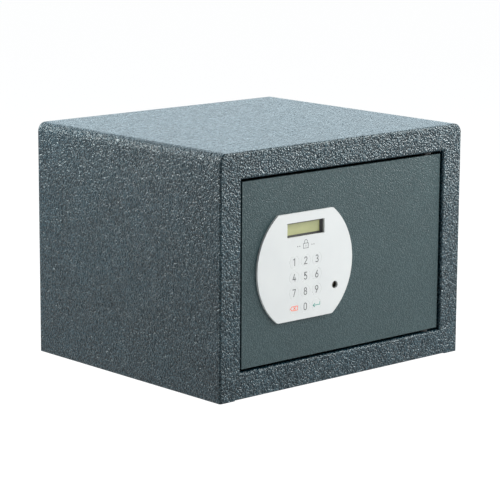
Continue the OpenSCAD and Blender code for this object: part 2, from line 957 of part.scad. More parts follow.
// Drive pinion with its shaft, which runs in the gearmotor
module drive_pinion() {
    steps = 5;
    boss_h = 2.5;
    boss_r = 4;
    flank_r = max(base_r, root_r);
    flank = [for (i = [0:steps]) flank_r + i * (tip_r - flank_r) / steps];
    color(brass)
        union() {
            slab(rack_y0, rack_y1)
                translate([pinion_x, pinion_z])
                    rotate(-90)
                        polygon([
                            for (tooth = [0:pinion_teeth - 1])
                                let (mid = tooth * 360 / pinion_teeth)
                                    each concat(
                                        [polar(root_r, mid - tooth_half(flank[0]))],
                                        [for (r = flank) polar(r, mid - tooth_half(r))],
                                        [for (i = [steps:-1:0]) polar(flank[i], mid + tooth_half(flank[i]))],
                                        [polar(root_r, mid + tooth_half(flank[0]))]
                                    )
                        ]);
            rod_y(pinion_x, pinion_z, rack_y1, rack_y1 + boss_h, boss_r);
            rod_y(pinion_x, pinion_z, motor_y1 - shaft_in, rack_y0, shaft_r);
        }
}

function polar(r, a) = [r * cos(a), r * sin(a)];

module gearmotor() {
    gearbox = 9;
    shaft_end = 0.5;
    can_half = motor_h / 2 - 0.2;
    color(steel)
        difference() {
            union() {
                block([pinion_x - motor_w / 2, motor_y1 - gearbox, pinion_z - motor_h / 2],
                    [pinion_x + motor_w / 2, motor_y1, pinion_z + motor_h / 2]);
                intersection() {
                    rod_y(pinion_x, pinion_z, motor_y0, motor_y1 - gearbox, motor_w / 2);
                    block([pinion_x - motor_w, motor_y0 - cut, pinion_z - can_half],
                        [pinion_x + motor_w, motor_y1, pinion_z + can_half]);
                }
            }
            rod_y(pinion_x, pinion_z, motor_y1 - shaft_in - shaft_end, motor_y1 + cut, shaft_r + shaft_fit);
        }
}

// Strap over the gearmotor with two feet on the door
module motor_bracket() {
    shaft_gap = 1;
    in_x = motor_w / 2;
    out_x = in_x + bracket_t;
    foot_x = out_x + 7;
    strap_half = 4;
    z0 = pinion_z - strap_half;
    z1 = pinion_z + strap_half;
    color(zinc)
        difference() {
            union() {
                for (side = [-1, 1])
                    translate([pinion_x, 0, 0])
                        mirror([side < 0 ? 1 : 0, 0, 0]) {
                            block([in_x, door_y1, z0], [out_x, motor_y1 + bracket_t, z1]);
                            block([out_x, door_y1, z0], [foot_x, door_y1 + bracket_t, z1]);
                        }
                block([pinion_x - in_x, motor_y1, z0], [pinion_x + in_x, motor_y1 + bracket_t, z1]);
            }
            rod_y(pinion_x, pinion_z, motor_y1 - cut, motor_y1 + bracket_t + cut, shaft_r + shaft_gap);
        }
}

// Nylon rest that holds the rack against the pinion
module rack_guide() {
    half_w = 9;
    base_h = 11;
    lip_t = 2;
    lip_h = 2.5;
    rest_z = rack_low_z - clear;
    color(panel_white) {
        block([pinion_x - half_w, door_y1, rack_low_z - base_h],
            [pinion_x + half_w, rack_y1 + lip_t, rest_z]);
        block([pinion_x - half_w, rack_y1 + clear, rest_z],
            [pinion_x + half_w, rack_y1 + lip_t, rack_low_z + lip_h]);
    }
}

// Switch that tells the board that the bolts are drawn back
module limit_switch() {
    size = [13, 6.5, 6];
    button_r = 0.9;
    button_y = 4;
    x0 = bar_x1 + 1.5;
    z0 = mid_z + 12.5;
    color(black_plastic) {
        translate([x0, housing_y1, z0])
            cube(size);
        rod_x(bar_x1 + 0.5, x0, housing_y1 + button_y, z0 + size[2] / 2, button_r);
    }
}

// The main board's four spacers, also used for its holes
module board_spacers(y0, y1, r) {
    for (x = [main_x0 + spacer_in, main_x1 - spacer_in])
        for (z = [main_z0 + spacer_in, main_z1 - spacer_in])
            rod_y(x, z, y0, y1, r);
}

module main_board() {
    color(board_green)
        block([main_x0, main_y0, main_z0], [main_x1, main_y0 + board_t, main_z1]);
}

// What stands on the main board, and the four spacers that carry it
module board_parts() {
    y = main_y0 + board_t;
    chip = [14, 2.2, 14];
    relay = [15, 9, 12];
    buzzer_h = 7;
    buzzer_r = 6;
    capacitor_h = 11;
    capacitor_r = 4;
    plug_half = 4;
    spacer_r = 3;
    spacer_head_t = 1.8;
    spacer_head_r = 2.6;
    color(black_plastic) {
        translate([main_x0 + 20, y, main_z0 + 26])
            cube(chip);
        translate([main_x0 + 40, y, main_z0 + 12])
            cube(relay);
        rod_y(main_x0 + 48, main_z0 + 52, y, y + buzzer_h, buzzer_r);
    }
    color(panel_white)
        for (x = wire_ends_x)
            block([x - plug_half, y, main_z1 - plug_in],
                [x + plug_half, y + plug_h, main_z1 - plug_in + plug_h]);
    color(steel) {
        rod_y(main_x0 + 12, main_z0 + 18, y, y + capacitor_h, capacitor_r);
        board_spacers(door_y1, main_y0, spacer_r);
        board_spacers(y, y + spacer_head_t, spacer_head_r);
    }
}

module inner_cover() {
    color(grey_plastic)
        difference() {
            block([cover_x0, door_y1, cover_z0], [cover_x1, cover_y1, cover_z1]);
            block([cover_x0 + cover_wall, door_y1 - cut, cover_z0 + cover_wall],
                [cover_x1 - cover_wall, cover_in_y, cover_z1 - cover_wall]);
            for (z = bolt_zs)
                rod_x(cover_x0 - cut, cover_x0 + cover_wall + cut, bolt_y, z, bolt_r + 2 * clear);
            block([lid_x0 - clear, cover_in_y - cut, lid_z0 - clear],
                [lid_x1 + clear, cover_y1 + cut, lid_z1 + clear]);
            cover_holes(cover_in_y - cut, cover_y1 + cut, screw_r + 2 * snug);
        }
}

// The inner cover's four fixing points, for its posts, holes and screws
module cover_holes(y0, y1, r) {
    for (x = [cover_x0 + cover_post_in, cover_x1 - cover_post_in])
        for (z = [cover_z0 + cover_post_in, cover_z1 - cover_post_in])
            rod_y(x, z, y0, y1, r);
}

module cover_posts() {
    color(zinc)
        difference() {
            cover_holes(door_y1, cover_in_y, cover_post_r);
            cover_holes(cover_in_y - screw_len - cut, cover_in_y + cut, screw_r);
        }
}

// Pan-head screws with a cross recess
module cover_screws() {
    head_t = 1.8;
    slot_w = 0.8;
    slot_len = 4;
    slot_depth = 1;
    color(steel)
        difference() {
            union() {
                cover_holes(cover_in_y - screw_len, cover_y1, screw_r);
                cover_holes(cover_y1, cover_y1 + head_t, cover_post_r);
            }
            for (x = [cover_x0 + cover_post_in, cover_x1 - cover_post_in])
                for (z = [cover_z0 + cover_post_in, cover_z1 - cover_post_in])
                    for (arm = [[slot_w, slot_len], [slot_len, slot_w]])
                        block([x - arm[0] / 2, cover_y1 + head_t - slot_depth, z - arm[1] / 2],
                            [x + arm[0] / 2, cover_y1 + head_t + cut, z + arm[1] / 2]);
        }
}

// Open tray behind the inner cover that holds the cells
module battery_holder() {
    color(black_plastic)
        difference() {
            block([holder_x0, holder_y0, holder_z - holder_half],
                [holder_x1, cover_in_y, holder_z + holder_half]);
            block([holder_x0 + holder_wall, holder_y0 + holder_wall, holder_z - holder_half + holder_wall],
                [holder_x1 - holder_wall, cover_in_y + cut, holder_z + holder_half - holder_wall]);
        }
}

function cell_z(i) = holder_z + (i - 1.5) * cell_pitch;

module batteries() {
    nub = 1.5;
    nub_r = 2.6;
    color([0.2, 0.35, 0.55])
        for (i = [0:3])
            translate([(holder_x0 + holder_x1) / 2, cell_y, cell_z(i)])
                mirror([i % 2, 0, 0]) {
                    rod_x(-cell_len / 2, cell_len / 2 - nub, 0, 0, cell_r);
                    rod_x(cell_len / 2 - nub, cell_len / 2, 0, 0, nub_r);
                }
}

// Plates at the ends of the cells, and the springs at each cell's flat end
module battery_contacts() {
    plate_t = 0.5;
    plate_w = 10;
    plate_h = 12;
    spring_gap = (holder_x1 - holder_x0 - cell_len) / 2 - holder_wall - plate_t;
    coils = 4;
    coil_pitch = spring_gap / coils;
    coil_gap = 0.3;
    coil_r = 2.5;
    coil_growth = 0.6;
    core_r = 1.2;
    color(zinc)
        translate([(holder_x0 + holder_x1) / 2, cell_y, 0])
            for (i = [0:3])
                mirror([(i + 1) % 2, 0, 0])
                    translate([cell_len / 2, 0, cell_z(i)]) {
                        block([spring_gap, -plate_w / 2, -plate_h / 2],
                            [spring_gap + plate_t, plate_w / 2, plate_h / 2]);
                        for (turn = [0:coils - 1])
                            rod_x(turn * coil_pitch, (turn + 1) * coil_pitch - coil_gap, 0, 0,
                                coil_r + turn * coil_growth);
                        rod_x(0, spring_gap, 0, 0, core_r);
                    }
}

// Lid over the cells, let into the inner cover, with ribs to grip
module battery_cover() {
    ribs = 5;
    rib_t = 0.6;
    rib_w = 1;
    rib_in = 20;
    rib_z0 = lid_z1 - 14;
    lid_y0 = cover_in_y + snug;
    lid_y1 = lid_y0 + lid_t;
    color(grey_plastic) {
        block([lid_x0, lid_y0, lid_z0], [lid_x1, lid_y1, lid_z1]);
        for (i = [0:ribs - 1])
            block([lid_x0 + rib_in, lid_y1, rib_z0 + 2 * rib_w * i],
                [lid_x1 - rib_in, lid_y1 + rib_t, rib_z0 + rib_w * (2 * i + 1)]);
    }
}

// Cuts each corner of a path in two, which rounds it a little more at every pass
function rounded(points, passes) =
    passes == 0 ? points : rounded(concat(
        [points[0]],
        [for (i = [0:len(points) - 2])
            each [points[i] * 0.75 + points[i + 1] * 0.25, points[i] * 0.25 + points[i + 1] * 0.75]],
        [points[len(points) - 1]]
    ), passes - 1);

function unit(v) = v / norm(v);

// A ring of the wire's surface round point p, square to direction d
function wire_ring(p, d, r) =
    let (u = unit(cross(d, [0.3, 0.5, 0.8])), v = cross(d, u))
        [for (i = [0:wire_sides - 1])
            let (a = 360 * i / wire_sides)
                p + r * (cos(a) * u + sin(a) * v)];

// A wire of radius r that follows a path through the points
module wire(points, r) {
    path = rounded(points, 2);
    last = len(path) - 1;
    rings = [for (i = [0:last])
        wire_ring(path[i], unit(path[min(i + 1, last)] - path[max(i - 1, 0)]), r)];
    polyhedron(
        points = [for (ring = rings) each ring],
        faces = concat(
            [[for (k = [wire_sides - 1:-1:0]) k]],
            [for (i = [0:last - 1])
                for (k = [0:wire_sides - 1])
                    let (next = (k + 1) % wire_sides)
                        [i * wire_sides + k, i * wire_sides + next,
                            (i + 1) * wire_sides + next, (i + 1) * wire_sides + k]],
            [[for (k = [0:wire_sides - 1]) last * wire_sides + k]]
        )
    );
}

// Wires from the keypad, the motor and the batteries to the main board
module wire_harness() {
    top = main_y0 + board_t + plug_h;
    keypad_exit = [wire_exit_x, housing_y1, wire_exit_z];
    plug_z = main_z1 - plug_in + plug_h / 2;
    keypad_wire_r = 1.4;
    lead_r = 1.1;
    low_y = door_y1 + 6;
    lead_x = main_x1 - 6;
    color([0.75, 0.15, 0.12]) {
        wire([
            keypad_exit,
            keypad_exit + [0, 4, 0],
            [pinion_x - 14, housing_y1 + 6, plug_z + 2],
            [wire_ends_x[0] - 5, top + 6, plug_z + 2],
            [wire_ends_x[0], top + 5, plug_z],
            [wire_ends_x[0], top, plug_z]
        ], keypad_wire_r);
        wire([
            [pinion_x, low_y, pinion_z + motor_h / 2],
            [pinion_x, low_y, pinion_z + 14],
            [pinion_x + 24, top + 4, pinion_z + 30],
            [wire_ends_x[1] - 4, top + 6, plug_z - 10],
            [wire_ends_x[1], top + 4, plug_z],
            [wire_ends_x[1], top, plug_z]
        ], lead_r);
        wire([
            [lead_x, cover_in_y - 8, holder_z + holder_half],
            [lead_x, cover_in_y - 8, main_z0 + 10],
            [main_x1 - 12, top + 8, plug_z - 16],
            [wire_ends_x[2], top + 4, plug_z],
            [wire_ends_x[2], top, plug_z]
        ], lead_r);
    }
}

front_frame();
body_shell();
floor_plate();
rear_panel();
strike_plate();
hinge_bushes();
door_spring();
spring_rivets();
floor_mat();
door_plate();
hinge_blocks();
hinge_pins();
thrust_washer();
keypad_panel();
panel_push_nuts();
display_bezel();
lcd_glass();
lcd_connector();
keypad_housing();
housing_nuts();
keypad_board();
key_switches();
keypad_key(0);  // key_1
keypad_key(1);  // key_2
keypad_key(2);  // key_3
keypad_key(3);  // key_4
keypad_key(4);  // key_5
keypad_key(5);  // key_6
keypad_key(6);  // key_7
keypad_key(7);  // key_8
keypad_key(8);  // key_9
keypad_key(9);  // key_clear
keypad_key(10);  // key_0
keypad_key(11);  // key_enter
lock_body();
lock_clip();
lock_plug();
lock_cam();
bolt_guide();
locking_bolts();
bolt_bar();
bolt_nuts();
drive_rack();
drive_pinion();
gearmotor();
motor_bracket();
rack_guide();
limit_switch();
main_board();
board_parts();
inner_cover();
cover_posts();
cover_screws();
battery_holder();
battery_contacts();
batteries();
battery_cover();
wire_harness();
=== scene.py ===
"""Looks of the in-room safe: materials, softened edges, printed marks, felt mat and light."""

import math

import bmesh
import bpy
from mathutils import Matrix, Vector, geometry, noise


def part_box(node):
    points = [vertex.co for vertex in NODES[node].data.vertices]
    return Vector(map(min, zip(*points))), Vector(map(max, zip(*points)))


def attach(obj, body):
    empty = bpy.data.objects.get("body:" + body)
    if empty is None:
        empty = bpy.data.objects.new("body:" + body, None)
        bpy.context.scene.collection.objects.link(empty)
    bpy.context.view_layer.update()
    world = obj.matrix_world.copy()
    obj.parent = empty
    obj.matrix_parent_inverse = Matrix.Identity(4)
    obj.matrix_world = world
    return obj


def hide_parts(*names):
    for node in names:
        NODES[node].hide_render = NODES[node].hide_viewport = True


MM = 0.001
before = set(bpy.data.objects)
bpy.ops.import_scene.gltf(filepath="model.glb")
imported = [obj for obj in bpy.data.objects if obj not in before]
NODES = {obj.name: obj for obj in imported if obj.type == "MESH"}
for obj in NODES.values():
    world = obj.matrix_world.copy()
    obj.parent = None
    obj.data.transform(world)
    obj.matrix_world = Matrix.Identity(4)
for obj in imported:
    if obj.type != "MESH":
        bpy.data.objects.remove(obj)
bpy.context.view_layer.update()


def box_mm(node):
    """Lowest and highest corner of a CAD node, in millimetres."""
    low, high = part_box(node)
    return low / MM, high / MM


def new_object(name, data):
    """An object with the given data, put into the scene."""
    made = bpy.data.objects.new(name, data)
    bpy.context.scene.collection.objects.link(made)
    return made


def mesh_object(name, mesh, material):
    """Turns a bmesh into an object of one material."""
    data = bpy.data.meshes.new(name)
    mesh.to_mesh(data)
    mesh.free()
    data.materials.append(material)
    return new_object(name, data)


# ---------------------------------------------------------------- camera

LENS = 160.9
SENSOR = 36.0
CAMERA_AT = (-1.6165, -1.7857, 0.5934)
CAMERA_YAW = math.radians(42.16)
CAMERA_PITCH = math.radians(11.26)
CAMERA_ROLL = math.radians(0.33)


def add_camera():
    """Three-quarter view from the front left, a little above the object."""
    forward = Vector((
        math.sin(CAMERA_YAW) * math.cos(CAMERA_PITCH),
        math.cos(CAMERA_YAW) * math.cos(CAMERA_PITCH),
        -math.sin(CAMERA_PITCH),
    ))
    level = Vector((math.cos(CAMERA_YAW), -math.sin(CAMERA_YAW), 0))
    upright = level.cross(forward)
    right = math.cos(CAMERA_ROLL) * level + math.sin(CAMERA_ROLL) * upright
    up = math.cos(CAMERA_ROLL) * upright - math.sin(CAMERA_ROLL) * level
    data = bpy.data.cameras.new("camera")
    data.lens = LENS
    data.sensor_width = SENSOR
    camera = new_object("camera", data)
    turn = camera.matrix_world.copy()
    for row in range(3):
        turn[row][0] = right[row]
        turn[row][1] = up[row]
        turn[row][2] = -forward[row]
        turn[row][3] = CAMERA_AT[row]
    camera.matrix_world = turn
    bpy.context.scene.camera = camera


# ---------------------------------------------------------------- node helpers

# Noise rarely leaves this span.
NOISE_LOW = 0.3
NOISE_HIGH = 0.7
# The wave texture multiplies its own coordinates by this.
WAVE_FACTOR = 20


class Nodes:
    """A node tree under construction, with short helpers for its nodes."""

    def __init__(self, tree):
        self.tree = tree

    def new(self, kind):
        return self.tree.nodes.new("ShaderNode" + kind)

    def find(self, kind):
        return next(node for node in self.tree.nodes if node.type == kind)

    def link(self, source, socket):
        self.tree.links.new(source, socket)

    def spread(self, value, to_low=0.0, to_high=1.0, low=NOISE_LOW, high=NOISE_HIGH):
        """value mapped from low..high to to_low..to_high, held at the ends."""
        node = self.new("MapRange")
        for end, number in zip(
            ("From Min", "From Max", "To Min", "To Max"), (low, high, to_low, to_high)
        ):
            node.inputs[end].default_value = number
        self.link(value, node.inputs["Value"])
        return node.outputs["Result"]

    def fade(self, value, low, high):
        """0 up to low and 1 from high on, with a smooth step between them."""
        result = self.spread(value, low=low, high=high)
        result.node.interpolation_type = "SMOOTHSTEP"
        return result

    def blend(self, factor, a, b):
        """Colour a where factor is 0 and b where it is 1."""
        node = self.new("Mix")
        node.data_type = "RGBA"
        self.link(factor, node.inputs["Factor"])
        for name, colour in (("A", a), ("B", b)):
            socket = next(s for s in node.inputs if s.name == name and s.type == "RGBA")
            if isinstance(colour, tuple):
                socket.default_value = (*colour, 1)
            else:
                self.link(colour, socket)
        return next(s for s in node.outputs if s.type == "RGBA")

    def math(self, operation, a, b):
        node = self.new("Math")
        node.operation = operation
        self.link(a, node.inputs[0])
        self.link(b, node.inputs[1])
        return node.outputs["Value"]


class Paint(Nodes):
    """A material under construction, with textures laid in the object's own coordinates."""

    def __init__(self, name):
        self.material = bpy.data.materials.new(name)
        self.material.use_nodes = True
        super().__init__(self.material.node_tree)
        self.shader = self.find("BSDF_PRINCIPLED")
        self.place = self.new("TexCoord").outputs["Object"]

    def set(self, **values):
        """Sets the shader's own sockets, written with underscores for spaces."""
        for name, value in values.items():
            self.shader.inputs[name.replace("_", " ")].default_value = value

    def stretched(self, x, y, z):
        """The object's own coordinates, scaled along each axis."""
        node = self.new("Mapping")
        node.inputs["Scale"].default_value = (x, y, z)
        self.link(self.place, node.inputs["Vector"])
        return node.outputs["Vector"]

    def texture(self, kind, scale, at=None):
        """A texture node laid in the object's own coordinates, or in those given as at."""
        node = self.new(kind)
        node.inputs["Scale"].default_value = scale
        self.link(at or self.place, node.inputs["Vector"])
        return node

    def noise(self, size_mm, detail=2.0, rough=0.5, distortion=0.0, at=None):
        """Noise whose features are about size_mm across."""
        node = self.texture("TexNoise", 1 / (size_mm * MM), at)
        node.inputs["Detail"].default_value = detail
        node.inputs["Roughness"].default_value = rough
        node.inputs["Distortion"].default_value = distortion
        return node.outputs["Fac"]

    def blobs(self, size_mm, smooth):
        """Rounded cells about size_mm across: the distance from each cell's point."""
        node = self.texture("TexVoronoi", 1 / (size_mm * MM))
        node.feature = "SMOOTH_F1"
        node.inputs["Smoothness"].default_value = smooth
        return node.outputs["Distance"]

    def waves(self, size_mm, axis, distortion=0.0):
        """Parallel lines size_mm apart."""
        node = self.texture("TexWave", 1 / (size_mm * MM) * math.tau / WAVE_FACTOR)
        node.bands_direction = axis
        node.inputs["Distortion"].default_value = distortion
        return node.outputs["Fac"]

    def colours(self, tone, a, b):
        """Base colour a where tone is 0 and b where it is 1."""
        self.link(self.blend(tone, a, b), self.shader.inputs["Base Color"])

    def roughness(self, texture, low, high):
        """Roughness from low to high over the usual span of a noise texture."""
        self.link(self.spread(texture, low, high), self.shader.inputs["Roughness"])

    def bump(self, height, depth_mm, under=None):
        """Relief of depth_mm, on top of the relief under it."""
        node = self.new("Bump")
        node.inputs["Distance"].default_value = depth_mm * MM
        self.link(height, node.inputs["Height"])
        if under is not None:
            self.link(under, node.inputs["Normal"])
        self.link(node.outputs["Normal"], self.shader.inputs["Normal"])
        return node.outputs["Normal"]


# ---------------------------------------------------------------- painted steel

# Sizes in the structured paint as multiples of its grain, and the fine grain's share of the
# relief.
BLOB_SIZE = 1.15
PATCH_SIZE = 2.5
FINE_SIZE = 0.22
FINE_RELIEF = 0.05
# Size of the slow changes of tone, and how much of the tone they and the relief make up. The
# relief's share darkens the pits and lightens the tops: partly the paint's own mottling, partly
# painted shade in the pits and painted highlight on the tops.
CLOUD_MM = 45
CLOUD_SHARE = 0.2
RELIEF_SHADE_SHARE = 0.8
# How far the roughness falls and rises round its middle, in paint and plastic.
SMOOTHER = 0.05
ROUGHER = 0.06


def structured_paint(
    name, dark, light, grain_mm, relief_mm, rough, gloss, pit_shade_share, tint=(1, 1, 1)
):
    """Structure powder coat: worm-like grain of rounded blobs with darker pits between them,
    partly the paint's own mottling and partly painted shade.

    The specular level is gloss, lowered in the pits and raised on the tops by the share given
    after gloss: painted shade in the pits and painted highlight on the tops.
    """
    paint = Paint(name)
    grain = paint.noise(grain_mm, detail=0.6, rough=0.4, distortion=0.5)
    blobs = paint.blobs(grain_mm * BLOB_SIZE, smooth=0.35)
    relief = paint.math("SUBTRACT", paint.spread(grain), blobs)
    cloud = paint.noise(CLOUD_MM, detail=3)
    # Tone: darker in the pits and lighter on the tops, partly the paint's own mottling and partly
    # painted shade in the pits and painted highlight on the tops; the slow cloud is random tone.
    tone = paint.math(
        "ADD",
        paint.spread(relief, 0.0, RELIEF_SHADE_SHARE, low=-0.25, high=0.45),
        paint.spread(cloud, 0.0, CLOUD_SHARE, low=0.35, high=0.65),
    )
    paint.colours(tone, dark, light)
    patches = paint.noise(grain_mm * PATCH_SIZE, detail=3)
    paint.roughness(patches, rough - SMOOTHER, rough + ROUGHER)
    fine = paint.bump(paint.noise(grain_mm * FINE_SIZE, detail=2), relief_mm * FINE_RELIEF)
    paint.bump(relief, relief_mm, under=fine)
    # Painted shade and painted highlight: the specular level falls in the pits and rises on the
    # tops, standing in for the shade inside the pits.
    in_pits, on_tops = gloss * (1 - pit_shade_share), gloss * (1 + pit_shade_share)
    shine = paint.spread(relief, in_pits, on_tops, low=-0.3, high=0.4)
    paint.set(Specular_IOR_Level=gloss, Specular_Tint=(*tint, 1))
    paint.link(shine, paint.shader.inputs["Specular IOR Level"])
    return paint.material


def cabinet_paint():
    # Pit colour first, tops' colour second: the near-black pit colour is partly the paint's own
    # dark and partly painted shade.
    return structured_paint(
        "cabinet_paint", (0.001, 0.006, 0.010), (0.011, 0.036, 0.051), grain_mm=1.8,
        relief_mm=0.68, rough=0.26, gloss=0.42, pit_shade_share=0.42, tint=(0.86, 0.99, 1.0),
    )


def door_paint():
    return structured_paint(
        # Pit colour first, tops' colour second: the darker pit colour is partly the paint's own
        # and partly painted shade.
        "door_paint", (0.015, 0.034, 0.038), (0.026, 0.053, 0.058), grain_mm=1.4,
        relief_mm=0.19, rough=0.38, gloss=0.4, pit_shade_share=0.12,
    )


# ---------------------------------------------------------------- bare metal

TARNISH_MM = 9
# How far the roughness falls and rises round its middle between the streaks.
STREAK_SMOOTHER = 0.07
STREAK_ROUGHER = 0.1


def metal(name, dark, light, rough, streak, streak_mm=0.6, relief_mm=0.01):
    """Bare or plated metal with fine streaks and cloudy tarnish."""
    paint = Paint(name)
    streaks = paint.noise(streak_mm, detail=3, at=paint.stretched(*streak))
    tarnish = paint.noise(TARNISH_MM, detail=4, rough=0.6)
    paint.colours(paint.spread(tarnish, low=0.35), light, dark)
    paint.roughness(streaks, rough - STREAK_SMOOTHER, rough + STREAK_ROUGHER)
    paint.bump(streaks, relief_mm)
    paint.set(Metallic=1.0)
    return paint.material


def zinc_plate():
    return metal(
        "zinc_plate", (0.50, 0.52, 0.53), (0.68, 0.69, 0.68), rough=0.32, streak=(0.12, 1, 1)
    )


def spring_steel():
    return metal(
        "spring_steel", (0.30, 0.31, 0.33), (0.46, 0.47, 0.49), rough=0.28, streak=(1, 1, 0.1)
    )


def bush_brass():
    return metal(
        "bush_brass", (0.16, 0.12, 0.06), (0.36, 0.27, 0.14), rough=0.30, streak=(1, 1, 8),
        streak_mm=0.9,
    )


def motor_case():
    return metal(
        "motor_case", (0.48, 0.49, 0.50), (0.62, 0.63, 0.64), rough=0.24, streak=(1, 0.1, 1)
    )


# ---------------------------------------------------------------- plastics and other finishes

# Sizes of the slow tone changes, the sleeves' crinkles, the felt's fibres and the LCD's grid.
TONE_MM = 30
CRINKLE_MM = 2.2
CRINKLE_DEPTH_MM = 0.04
FIBRE_MM = 0.5
LCD_LINE_MM = 0.42


def plastic(name, dark, light, rough, grain_mm=0.5, relief_mm=0.02):
    """Moulded plastic with a fine spark-eroded grain and slow tone changes."""
    paint = Paint(name)
    grain = paint.noise(grain_mm, detail=2, rough=0.6)
    paint.colours(paint.spread(paint.noise(TONE_MM, detail=3)), dark, light)
    paint.roughness(grain, rough - SMOOTHER, rough + ROUGHER)
    paint.bump(grain, relief_mm)
    return paint.material


def black_plastic():
    return plastic("black_plastic", (0.008, 0.008, 0.009), (0.016, 0.016, 0.017), rough=0.42)


def switch_grey():
    return plastic("switch_grey", (0.08, 0.082, 0.085), (0.11, 0.112, 0.115), rough=0.45)


def nylon():
    return plastic("nylon", (0.62, 0.61, 0.57), (0.70, 0.69, 0.65), rough=0.40)


def cover_plastic():
    return plastic(
        "cover_plastic", (0.030, 0.033, 0.036), (0.042, 0.046, 0.050), rough=0.50,
        grain_mm=0.7, relief_mm=0.05,
    )


def wire_red():
    return plastic(
        "wire_red", (0.36, 0.022, 0.018), (0.46, 0.034, 0.026), rough=0.38, grain_mm=0.9
    )


def panel_plastic():
    """Matt white keypad foil: a very fine grain, hardly any tone change."""
    paint = Paint("panel_plastic")
    grain = paint.noise(size_mm=0.28, detail=2, rough=0.6)
    cloud = paint.noise(size_mm=26, detail=2)
    paint.colours(paint.spread(cloud), (0.475, 0.495, 0.50), (0.495, 0.515, 0.515))
    paint.roughness(grain, 0.36, 0.46)
    paint.bump(grain, depth_mm=0.006)
    return paint.material


def lcd():
    """Reflective display: pale yellow-green behind a faint grid, with a polished front."""
    paint = Paint("lcd")
    grid = paint.math("MINIMUM", paint.waves(LCD_LINE_MM, "X"), paint.waves(LCD_LINE_MM, "Z"))
    cloud = paint.noise(size_mm=14, detail=2)
    ground = paint.blend(paint.spread(cloud), (0.30, 0.315, 0.145), (0.34, 0.355, 0.165))
    lines = paint.spread(grid, 0.16, 0.0, low=0.0, high=0.12)
    paint.colours(lines, ground, (0.21, 0.23, 0.11))
    paint.roughness(cloud, 0.30, 0.38)
    paint.set(Coat_Weight=0.6, Coat_Roughness=0.06)
    return paint.material


def circuit_board():
    """Green solder mask over raised copper tracks."""
    paint = Paint("circuit_board")
    tracks = paint.spread(paint.waves(size_mm=1.6, axis="X", distortion=2.5), low=0.62, high=0.68)
    runs = paint.spread(paint.waves(size_mm=2.2, axis="Z", distortion=2.0), low=0.70, high=0.76)
    copper = paint.math("MAXIMUM", tracks, runs)
    paint.colours(copper, (0.012, 0.075, 0.032), (0.03, 0.16, 0.062))
    paint.roughness(paint.noise(size_mm=3), 0.3, 0.4)
    paint.bump(copper, depth_mm=0.03)
    return paint.material


def cell_sleeve():
    """Dark shrink sleeve of the cells, slightly crinkled."""
    paint = Paint("cell_sleeve")
    crinkle = paint.noise(CRINKLE_MM, detail=3)
    cloud = paint.noise(size_mm=12)
    paint.colours(paint.spread(cloud), (0.020, 0.022, 0.026), (0.035, 0.037, 0.042))
    paint.roughness(crinkle, 0.22, 0.32)
    paint.bump(crinkle, depth_mm=CRINKLE_DEPTH_MM)
    return paint.material


def copper_sleeve():
    """Coppery part of the sleeve, at the end with the nub."""
    paint = Paint("copper_sleeve")
    crinkle = paint.noise(CRINKLE_MM, detail=3)
    paint.colours(paint.spread(crinkle), (0.55, 0.27, 0.12), (0.68, 0.36, 0.17))
    paint.roughness(crinkle, 0.26, 0.36)
    paint.bump(crinkle, depth_mm=CRINKLE_DEPTH_MM)
    paint.set(Metallic=0.8)
    return paint.material


def mat_felt():
    """Needle felt: matted fibres along and across, with a soft sheen."""
    paint = Paint("mat_felt")
    along, across = (
        paint.noise(FIBRE_MM, detail=4, rough=0.7, distortion=1.5, at=paint.stretched(*scale))
        for scale in ((1, 0.35, 1), (0.35, 1, 1))
    )
    nap = paint.math("MAXIMUM", along, across)
    tone = paint.math(
        "ADD",
        paint.spread(nap, 0, 0.75, low=0.4, high=0.75),
        paint.spread(paint.noise(size_mm=11, detail=3), 0, 0.25),
    )
    paint.colours(tone, (0.016, 0.018, 0.020), (0.075, 0.080, 0.086))
    paint.roughness(nap, 0.85, 0.98)
    paint.bump(nap, depth_mm=0.45)
    paint.set(Sheen_Weight=0.35, Sheen_Roughness=0.5)
    return paint.material


def ink(name, colour):
    """Screen-printed ink with a slightly uneven lay-down."""
    paint = Paint(name)
    lay = paint.noise(size_mm=0.35, detail=2)
    lighter = tuple(min(1.0, c * 1.25 + 0.01) for c in colour)
    paint.colours(paint.spread(lay), colour, lighter)
    paint.roughness(lay, 0.4, 0.52)
    paint.bump(lay, depth_mm=0.004)
    return paint.material


# One maker for each material slot of the CAD nodes, under the slot's own name.
MAKERS = (
    cabinet_paint, door_paint, bush_brass, spring_steel, mat_felt, zinc_plate, panel_plastic,
    black_plastic, lcd, switch_grey, circuit_board, motor_case, nylon, cover_plastic,
    cell_sleeve, wire_red,
)


def paint_nodes():
    """Gives every CAD node the material of its slot; returns the materials by slot name."""
    made = {make.__name__: make() for make in MAKERS}
    for piece in NODES.values():
        # Blender adds a number after a dot to a name that is taken.
        slot_name = piece.material_slots[0].material.name.split(".")[0]
        for slot in piece.material_slots:
            slot.material = made[slot_name]
    return made


# ---------------------------------------------------------------- softened edges

# Edge radius of each node in millimetres; the keys get KEY_EDGE and the rest FINE_EDGE.
FINE_EDGE = 0.15
KEY_EDGE = 0.04
EDGES = {
    "front_frame": 0.75,
    "body_shell": 0.3,
    "floor_plate": 0.3,
    "rear_panel": 0.3,
    "strike_plate": 0.3,
    "door_plate": 1.0,
    "keypad_panel": 0.12,
    "display_bezel": 0.12,
    "inner_cover": 0.6,
    "battery_cover": 0.3,
    "hinge_blocks": 0.6,
    "bolt_bar": 0.4,
    "locking_bolts": 0.3,
    "bolt_guide": 0.4,
    "motor_bracket": 0.2,
    "gearmotor": 0.3,
    "lock_cam": 0.3,
    "keypad_housing": 0.3,
    "battery_holder": 0.3,
}
LEFT_AS_MADE = {"wire_harness", "floor_mat", "batteries"}
# Edges sharper than SHARP are rounded, and faces within FLAT of each other are joined first.
SHARP = math.radians(32)
FLAT = math.radians(0.4)
WELD_MM = 0.001
BEVEL_SEGMENTS = 3


